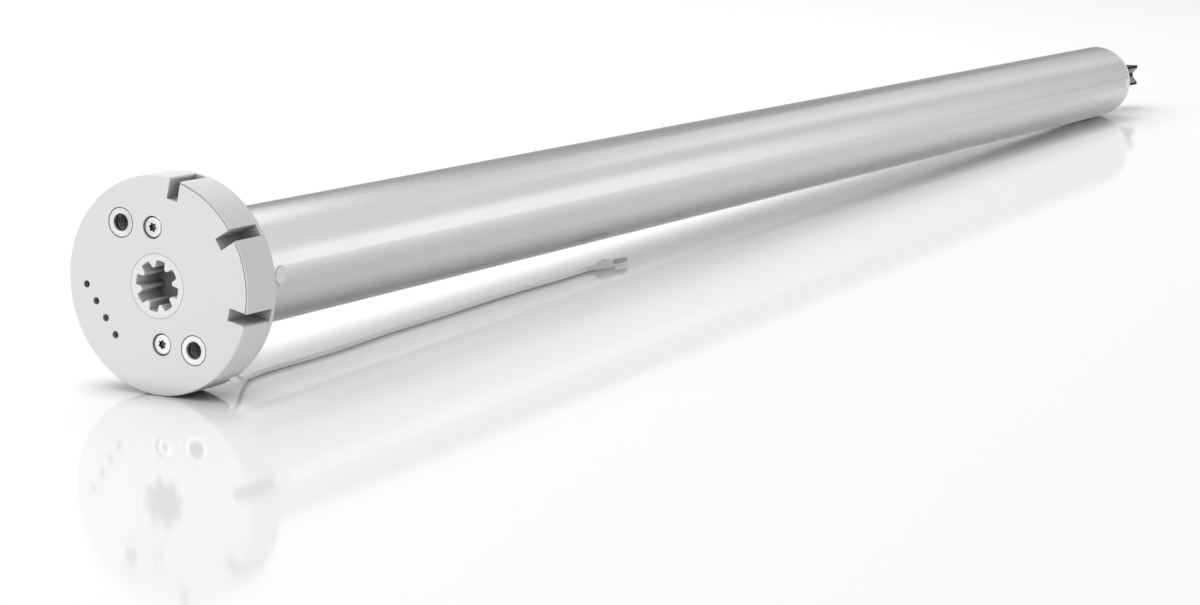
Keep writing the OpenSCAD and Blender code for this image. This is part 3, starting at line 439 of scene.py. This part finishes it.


# The head takes painted shade in its notches, holes and seams.
head_abs = moulded("Textured ABS, light grey", "#e4e4e5", 0.52, painted_hollow_shade=0.58)
end_nylon = moulded("Moulded nylon end plate, white", "#f8f8f8", 0.42, grain_mm=0.8, bump_mm=0.006, edge_mm=0.3)
inlet_nylon = moulded("Glass-filled nylon, dark grey", "#3a3b3d", 0.5, grain_mm=0.25, bump_mm=0.012,
                      edge_mm=0.2, tint=0.15)
print("plastics so far:", len(bpy.data.materials))

# %% [markdown]
# ## Finishes: the star socket
#
# The socket's slots are deep and narrow, so shade deepens towards their end. The painted shade of the hollows
# doesn't reach that far in, so more shade is painted along the head's axis: the plastic turns greyer with
# depth. The same small function does it for any material, along any axis.

# %% Plastic that darkens with depth
def banded(material, colour, axis, bands):
    """Turns a material another colour from the first to the second distance, in mm, from the origin on an axis."""
    tree = material.node_tree
    shader = next(n for n in tree.nodes if n.type == "BSDF_PRINCIPLED")
    place = add(tree, "SeparateXYZ", {"Vector": add(tree, "TexCoord").outputs["Object"]}).outputs[axis]
    distance = add(tree, "Math", {0: place}, operation="ABSOLUTE")
    shade = shader.inputs["Base Color"].links[0].from_node
    for start, end in bands:
        inside = add(tree, "MapRange", {"Value": distance}, From_Min=start * mm, From_Max=end * mm)
        shade = add(tree, "Mix", {"Factor": inside, "A": shade}, data_type="RGBA", B=linear(colour))
    link(tree, shader, {"Base Color": shade})


# Painted shade twice: in the socket's hollows, and greyer with depth from 4 to 13 mm along X.
star_nylon = moulded("Moulded nylon, white", "#ececec", 0.38, grain_mm=0.8, bump_mm=0.004, edge_mm=0.3,
                     painted_hollow_shade=0.44)
banded(star_nylon, "#7c7c7d", "X", ((4, 13),))
print("nodes in the socket's material:", len(star_nylon.node_tree.nodes))

# %% [markdown]
# ## Finishes: soft plastics of the antenna lead
#
# PVC sheath is smoother than the head and has a soft shine. Its faint unevenness is wider than the head's
# grain, because it comes from the extruder, and the shrunk tube over the tip shows the most of it.

# %% Soft plastics
wire_pvc = moulded("Soft PVC wire sheath, white", "#f6f6f6", 0.34, grain_mm=1.6, bump_mm=0.006, edge_mm=0.1)
sleeve_pvc = moulded("Moulded PVC sleeve, pale grey", "#e6e6e7", 0.36, grain_mm=1.2, bump_mm=0.008,
                     edge_mm=0.15)
tip_shrink = moulded("Heat-shrink tube, grey", "#b5b6b8", 0.3, grain_mm=1.5, bump_mm=0.012, edge_mm=0.15)
grommet_rubber = moulded("Soft grommet rubber, white", "#dcdcdc", 0.6, grain_mm=0.4, bump_mm=0.01,
                         edge_mm=0.15)
print("plastics so far:", len(bpy.data.materials))

# %% [markdown]
# ## Finishes: anodised tube and bright metals
#
# The tube is drawn aluminium, etched and anodised, which leaves a silvery satin skin: the drawing marks are
# hair-thin lines along its length, and the anodising softens every reflection. A noise stretched along X makes
# those lines. Their true width, about 0.05 mm, would vanish in the render, so they are drawn a little coarser.
# A bare metal turns white where it is seen at a flat angle, and an oxide skin or a cast skin doesn't, so
# the tube and the tenon have a grey Specular Tint, which is their colour at such an angle.

# %% Drawn, ground and cast metal
metal_cloud_mm = 45


def metal(name, colour, roughness, stretch=(1, 1, 1), mark_mm=0.3, bump_mm=0.004, edge_mm=0.15, tint=0.12,
          grazing="#ffffff"):
    """Metal with working marks mark_mm wide, drawn out along an axis where stretch is under 1."""
    material, tree, shader = new_material(name)
    place = add(tree, "TexCoord").outputs["Object"]
    drawn = add(tree, "Mapping", {"Vector": place}, Scale=stretch)
    marks = add(tree, "TexNoise", {"Vector": drawn}, Scale=1 / (mark_mm * mm), Detail=4.0, Roughness=0.65)
    clouds = add(tree, "TexNoise", {"Vector": place}, Scale=1 / (metal_cloud_mm * mm), Detail=3.0)
    both = add(tree, "Math", {0: marks, 2: clouds}, operation="MULTIPLY_ADD")
    both.inputs[1].default_value = 0.7
    share = add(tree, "MapRange", {"Value": both}, From_Min=0.45, From_Max=1.25)
    dull = [c * (1 - tint) for c in linear(colour)[:3]] + [1]
    shade = add(tree, "Mix", {"Factor": share}, data_type="RGBA", A=dull, B=linear(colour))
    matt = add(tree, "MapRange", {"Value": marks}, From_Min=0.2, From_Max=0.8,
               To_Min=max(0.05, roughness - 0.05), To_Max=roughness + 0.06)
    edge = add(tree, "Bevel", Radius=edge_mm * mm, samples=4)
    bump = add(tree, "Bump", {"Height": marks, "Normal": edge}, Strength=0.3, Distance=bump_mm * mm)
    link(tree, shader, {"Base Color": shade, "Roughness": matt, "Normal": bump})
    shader.inputs["Metallic"].default_value = 1.0
    shader.inputs["Specular Tint"].default_value = linear(grazing)
    return material


along_x = (0.02, 1, 1)
tube_anodised = metal("Anodised aluminium, satin", "#d5d6d7", 0.25, along_x, mark_mm=0.12, bump_mm=0.001,
                      tint=0.04, grazing="#9a9a9a")
zinc_plate = metal("Zinc-plated steel", "#d2d3d4", 0.42, mark_mm=0.5, tint=0.06)
# Painted shade: a darker zinc for the bores, recesses and groove, where shade falls.
shade_painted_zinc = metal("Zinc-plated thread, painted shade", "#707072", 0.5, mark_mm=0.5, tint=0.3)
print("finishes so far:", len(bpy.data.materials))

# %% [markdown]
# ## Finishes: the drive tenon
#
# The tenon is die-cast zinc with a dark skin. The edges of its two flanges are darker than the slopes between
# them, and its narrow web, deep between the flanges, gets painted shade. So the same darkening by distance is
# used twice, counted up from its axis for the flanges and down to it for the web.

# %% Dark cast zinc
drive_cast = metal("Cast zinc, dark", "#b0b1b3", 0.3, mark_mm=0.6, bump_mm=0.02, edge_mm=0.2, tint=0.3,
                   grazing="#707070")
# Darker flange edges, and painted shade on the web deep between the flanges.
flanges, web = (4.1, 4.5), (1.3, 0.9)
banded(drive_cast, "#58595b", "Z", (flanges, web))
print("nodes in the tenon's material:", len(drive_cast.node_tree.nodes))

# %% [markdown]
# ## Finishes: the inner metals
#
# Nobody sees inside a closed motor, but its pieces get their own finishes too, so that a cut-away or a single
# node looks right: cast bells, ground shafts, oiled gears, stacked steel sheet, enamelled copper.

# %% Metals inside the tube
round_x = (1, 0.15, 0.15)
across_x = (1, 0.02, 0.02)
cast_alloy = metal("Die-cast aluminium", "#a9aaac", 0.45, mark_mm=0.7, bump_mm=0.03, edge_mm=0.3)
ground_steel = metal("Ground steel", "#b4b5b8", 0.25, round_x, mark_mm=0.25)
gear_steel = metal("Sintered steel, oiled", "#8e9094", 0.4, mark_mm=0.2, bump_mm=0.01, edge_mm=0.1)
can_steel = metal("Phosphated steel", "#6f7276", 0.5, mark_mm=0.4, bump_mm=0.01)
laminated = metal("Laminated steel", "#63666a", 0.45, across_x, mark_mm=0.5, bump_mm=0.02, tint=0.35)
extruded = metal("Extruded aluminium", "#b9babd", 0.38, along_x, mark_mm=0.4)
contact_brass = metal("Plated brass", "#c9a35a", 0.28, mark_mm=0.5)
bush_bronze = metal("Sintered bronze", "#a9824b", 0.45, mark_mm=0.25, bump_mm=0.01)
winding_copper = metal("Enamelled copper wire", "#b5622f", 0.32, (1, 0.05, 0.05), mark_mm=0.5, bump_mm=0.08,
                       tint=0.45)
print("finishes so far:", len(bpy.data.materials))

# %% [markdown]
# ## Finishes: boards, rubber and small parts
#
# Black rubber dampers and seal, white relay cases and connectors, a sleeved capacitor and a bonded brake lining
# are all plastics or rubbers, so they reuse the moulded finish with their own grain and shine. A circuit board
# is green solder mask over copper tracks, with tinned pads.

# %% Rubber and small parts
black_rubber = moulded("Nitrile rubber, black", "#1d1d1e", 0.7, grain_mm=0.5, bump_mm=0.02, tint=0.2)
tray_black = moulded("Flame-retardant tray plastic, black", "#232324", 0.4, tint=0.1)
sounder_grey = moulded("Sounder case plastic, grey", "#77797c", 0.55, tint=0.08)
white_nylon = moulded("Connector nylon, white", "#e3e3df", 0.4)
relay_case = moulded("Relay case, white", "#e8e8e4", 0.3, grain_mm=1.0)
lining = moulded("Bonded friction lining", "#3b3733", 0.8, grain_mm=0.4, bump_mm=0.08, tint=0.4)
ferrite = moulded("Ferrite and black tape", "#2e2e30", 0.5, grain_mm=0.6, bump_mm=0.03, tint=0.3)
brown_wire = moulded("PVC wire sheath, brown", "#6e3d24", 0.4)
can_sleeve = moulded("Capacitor sleeve, dark blue", "#26305c", 0.3)
print("finishes so far:", len(bpy.data.materials))

# %% Circuit boards
board_green, tree, shader = new_material("Solder mask, green")
place = add(tree, "TexCoord").outputs["Object"]
tracks = add(tree, "TexBrick", {"Vector": place}, Scale=1 / (6 * mm), Mortar_Size=0.05,
             Color1=linear("#1f6a43"), Color2=linear("#23734a"), Mortar=linear("#2f8a5b"))
pads = add(tree, "TexVoronoi", {"Vector": place}, Scale=1 / (4 * mm), Randomness=0.6)
tinned = add(tree, "MapRange", {"Value": pads}, From_Min=0.16, From_Max=0.13)
shade = add(tree, "Mix", {"Factor": tinned, "A": tracks}, data_type="RGBA", B=linear("#c9cac6"))
bump = add(tree, "Bump", {"Height": tinned}, Strength=0.4, Distance=0.05 * mm)
link(tree, shader, {"Base Color": shade, "Metallic": tinned, "Normal": bump})
shader.inputs["Roughness"].default_value = 0.35
print("board material:", len(tree.nodes), "nodes")

# %% [markdown]
# ## Dressing every node
#
# One table says which nodes each finish dresses, so a node that was forgotten shows at once in the last line.
# A CAD node keeps its mesh and only its material slot changes.

# %% Which finish dresses which node
finishes = {
    head_abs: "face_cover head_housing",
    star_nylon: "star_socket",
    end_nylon: "end_plate retaining_lugs",
    wire_pvc: "antenna_cord",
    sleeve_pvc: "antenna_sleeve",
    tip_shrink: "antenna_tip",
    grommet_rubber: "antenna_grommet",
    inlet_nylon: "power_inlet",
    tube_anodised: "tube",
    zinc_plate: "bracket_inserts cover_screws",
    drive_cast: "drive_shaft",
    cast_alloy: "motor_front_bell motor_rear_bell gearbox_plate output_housing",
    ground_steel: "motor_shaft shaft_clip motor_bearings",
    gear_steel: "ring_gear carrier_1 carrier_2 carrier_3 " + " ".join(
        "planet_%d%s" % (stage, letter) for stage in (1, 2, 3) for letter in "abc"),
    can_steel: "motor_can brake_coil brake_armature sensor_magnet",
    laminated: "stator_core rotor",
    extruded: "heat_sink radio_module",
    contact_brass: "inlet_pins",
    bush_bronze: "output_bushes",
    winding_copper: "stator_windings noise_choke",
    black_rubber: "seal_ring motor_dampers",
    sounder_grey: "sounder",
    tray_black: "electronics_tray",
    white_nylon: "input_connector motor_connector",
    relay_case: "relays",
    lining: "brake_disc",
    ferrite: "transformer",
    brown_wire: "power_wires",
    can_sleeve: "bulk_capacitor",
    board_green: "power_board logic_board sensor_board",
}
print("finishes in use on nodes:", len(finishes))

# %% Every node and piece gets its finish
undressed = set(nodes)
for material, names in finishes.items():
    for name in names.split():
        slots = nodes[name].data.materials
        slots.clear()
        slots.append(material)
        undressed.discard(name)
for made, material in ((antenna_wire, wire_pvc), (antenna_relief, grommet_rubber), (antenna_sleeve, sleeve_pvc),
                       (antenna_flag, sleeve_pvc), (antenna_tip, tip_shrink), (inserts, zinc_plate),
                       (screws, zinc_plate)):
    made.data.materials.append(material)
# The second slot holds the painted shade of bores, recesses and the groove.
for made in (inserts, screws):
    made.data.materials.append(shade_painted_zinc)
print("nodes without a finish:", sorted(undressed))

# %% [markdown]
# ## The table
#
# The motor lies on a glossy white table. It rests on the head's rim and on the far end of the tube, so the
# table's plane is tilted by one degree against the tube's axis. Three kinds of ray see it. The camera sees a
# white table with a faint mirror image and a painted contact shadow where the object comes close, which
# Ambient Occlusion gives. The tube's satin skin mirrors the table too, and for those rays light and shade are
# painted onto the table: dimmer by the head than at the far end, a painted pool of light close under the tube,
# and painted shade well behind it. All other rays see a plain matt white table, so that its light on the object
# stays even.

# %% The table's mesh
table_mesh = bpy.data.meshes.new("table")
table_bm = bmesh.new()
just_below, half_side = 0.02, 12  # the first in mm, the second in metres
bmesh.ops.create_grid(table_bm, x_segments=1, y_segments=1, size=half_side)
bmesh.ops.transform(table_bm, matrix=Matrix.Translation((0, 0, -(head_radius + just_below) * mm)) @ lie,
                    verts=table_bm.verts[:])
table_bm.to_mesh(table_mesh)
table_bm.free()
table = bpy.data.objects.new("table", table_mesh)
scene.collection.objects.link(table)
print("table leans by", round(math.degrees(rest_slope), 2), "degrees")

# %% The table's material: what the tube mirrors
table_white, tree, shader = new_material("White acrylic table")
tree.nodes.remove(shader)
spot = add(tree, "SeparateXYZ", {"Vector": add(tree, "TexCoord").outputs["Object"]})
# Painted light and shade for mirrored rays: brighter towards the far end, a painted pool of light close under the
# tube, painted shade behind it.
far_end = add(tree, "MapRange", {"Value": spot.outputs["X"]}, From_Min=0.0, From_Max=1.2, To_Min=0.66, To_Max=1.75)
close = add(tree, "MapRange", {"Value": spot.outputs["Y"]}, From_Min=-0.06, From_Max=0.0, To_Min=1.0, To_Max=2.3)
behind = add(tree, "MapRange", {"Value": spot.outputs["Y"]}, From_Min=0.05, From_Max=0.3, To_Min=1.0, To_Max=0.25)
beside = add(tree, "Math", {0: far_end, 1: close}, operation="MULTIPLY")
mirrored = add(tree, "Math", {0: beside, 1: behind}, operation="MULTIPLY")
print("nodes for the mirrored table:", len(tree.nodes))

# %% The table's material: what the camera sees
# Painted contact shadow: Ambient Occlusion darkens the table the camera sees where the object comes close.
touching = add(tree, "AmbientOcclusion", samples=8, Distance=18 * mm).outputs["AO"]
contact = add(tree, "MapRange", {"Value": touching}, From_Min=0.3, From_Max=0.95, To_Min=0.36, To_Max=1.04)
ray = add(tree, "LightPath")
shown = add(tree, "Mix", {"Factor": ray.outputs["Is Camera Ray"], "A": mirrored, "B": contact}, data_type="RGBA")
seen = add(tree, "BsdfDiffuse", {"Color": shown})
mirror = add(tree, "BsdfGlossy", Color=(1, 1, 1, 1), Roughness=0.08)
glossy_table = add(tree, "MixShader", {1: seen, 2: mirror}, Fac=0.28)
matt = add(tree, "BsdfDiffuse", Color=linear("#f2f2f2"))
looked_at = add(tree, "Math", {0: ray.outputs["Is Camera Ray"], 1: ray.outputs["Is Glossy Ray"]},
                operation="MAXIMUM")
choice = add(tree, "MixShader", {"Fac": looked_at, 1: matt, 2: glossy_table})
link(tree, next(n for n in tree.nodes if n.type == "OUTPUT_MATERIAL"), {"Surface": choice})
table.data.materials.append(table_white)
print("table material:", len(tree.nodes), "nodes")

# %% [markdown]
# ## World and lamps
#
# A product studio is white all round with a few large soft boxes. The world is plain white for every ray that
# looks at it, directly, in a mirror or through glass, and dimmer as a light, so that the boxes shape it. The top
# and front boxes light the object, two low ones beside the tube draw its long highlight, and one far behind
# lights its upper edge. Seen from other sides, those last three would show as white panels in the glossy table,
# so light linking keeps the table out of them.

# %% The world
world = bpy.data.worlds.new("Studio")
scene.world = world
world.use_nodes = True
tree = world.node_tree
tree.nodes.clear()
ray = add(tree, "LightPath")
plain = add(tree, "Math", {0: ray.outputs["Is Camera Ray"], 1: ray.outputs["Is Glossy Ray"]}, operation="MAXIMUM")
white_for = add(tree, "Math", {0: plain, 1: ray.outputs["Is Transmission Ray"]}, operation="MAXIMUM")
strength = add(tree, "MapRange", {"Value": white_for}, To_Min=0.45, To_Max=1.0)
sky = add(tree, "Background", {"Strength": strength}, Color=(1, 1, 1, 1))
add(tree, "OutputWorld", {"Surface": sky})
print("world:", len(tree.nodes), "nodes")

# %% The lamps
def softbox(name, place, aim, width, height, power):
    """A rectangular area lamp at place, facing aim, in metres and watts."""
    data = bpy.data.lights.new(name, "AREA")
    data.shape = "RECTANGLE"
    data.size, data.size_y, data.energy = width, height, power
    lamp = bpy.data.objects.new(name, data)
    scene.collection.objects.link(lamp)
    lamp.visible_camera = False
    facing = (Vector(aim) - Vector(place)).to_track_quat("-Z", "Y").to_matrix().to_4x4()
    lamp.matrix_world = Matrix.Translation(place) @ facing
    return lamp


softbox("top_softbox", (0.7, 0.75, 1.3), aim=(0.6, 0.3, 0), width=2.4, height=1.6, power=17)
softbox("front_softbox", (-1.3, 0.35, 0.8), aim=(0, 0, 0), width=2.4, height=1.6, power=13)
streak = softbox("streak_softbox", (1.25, -0.9, 0.24), aim=(0.3, 0, 0), width=0.95, height=0.42, power=0.4)
far_streak = softbox("far_streak_softbox", (3.1, -0.95, 0.5), aim=(0.9, 0, 0), width=2.2, height=0.8, power=1.1)
back = softbox("back_softbox", (4.4, 0.15, 1.65), aim=(0.4, 0, 0), width=1.7, height=1.3, power=5.5)

# %% Keep the table out of three lamps
table_left_out = bpy.data.collections.new("table_left_out")
table_left_out.objects.link(table)
table_left_out.collection_objects[0].light_linking.link_state = "EXCLUDE"
for lamp in (streak, far_streak, back):
    lamp.light_linking.receiver_collection = table_left_out
    print(lamp.name, "doesn't light the table")

# %% Colours shown as they are written
scene.view_settings.view_transform = "Standard"
print("view transform:", scene.view_settings.view_transform)
